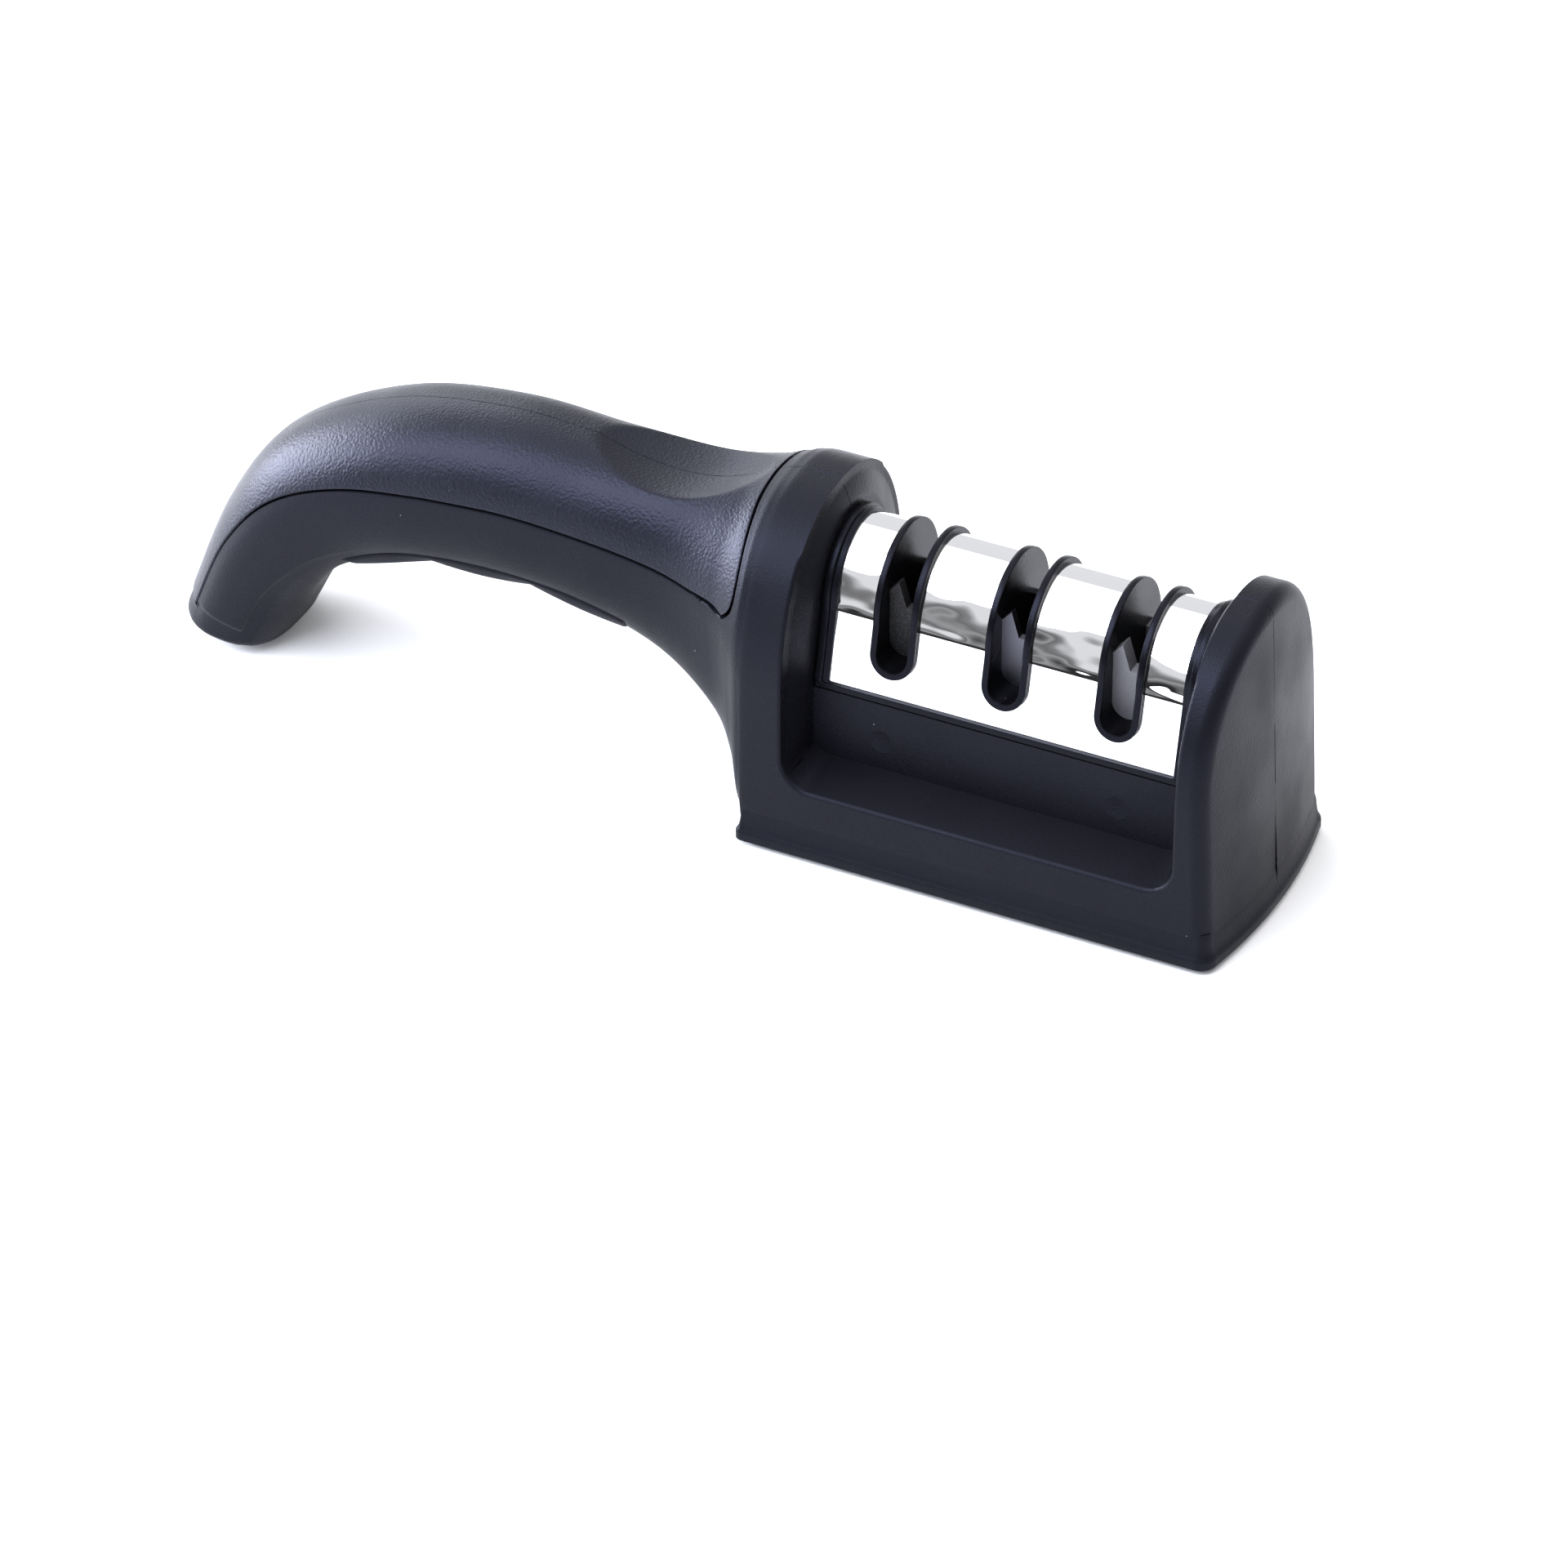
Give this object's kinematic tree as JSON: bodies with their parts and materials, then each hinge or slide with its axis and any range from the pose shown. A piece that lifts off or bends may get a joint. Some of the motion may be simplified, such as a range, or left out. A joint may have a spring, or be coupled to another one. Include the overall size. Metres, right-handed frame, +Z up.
{
  "type": "pull through knife sharpener",
  "caption": "Hand-held pull-through knife sharpener: curved soft-grip handle, flat base with a non-slip pad, and a bright lift-out head whose slots hold crossed sharpening elements.",
  "frame": {"origin": "on the surface it stands on, under the middle slot", "axes": "+X from the handle towards the front end, +Y away from the viewer, +Z up"},
  "size_m": [0.21, 0.05, 0.063],
  "materials": {
    "shell": "fine satin grain",
    "soft_skin": "moulded leather grain, matt",
    "finger_pad": "matt",
    "base_plate": "matt",
    "base_pad": "matt, tacky",
    "screws": "zinc plated",
    "core": "semi-gloss",
    "cover": "bright chrome",
    "diamond": "diamond-coated, rough",
    "carbide": "ground",
    "ceramic": "fine matt"
  },
  "bodies": {
    "housing": {"housing_near": "shell", "housing_far": "shell", "grip_skin_near": "soft_skin", "grip_skin_far": "soft_skin", "finger_pad": "finger_pad", "base_plate": "base_plate", "base_pad": "base_pad", "housing_screws": "screws", "base_screws": "screws"},
    "head": {"core_near": "core", "core_far": "core", "head_cover": "cover", "head_foot": "core", "head_screws": "screws", "diamond_plate_near": "diamond", "diamond_plate_far": "diamond", "carbide_blade_near": "carbide", "carbide_blade_far": "carbide", "ceramic_plate_near": "ceramic", "ceramic_plate_far": "ceramic"}
  },
  "joints": [
    {"name": "head_lift", "type": "slide", "parent": "housing", "child": "head", "axis": [0, 0, 1], "range_m": [0, 0.036]}
  ]
}
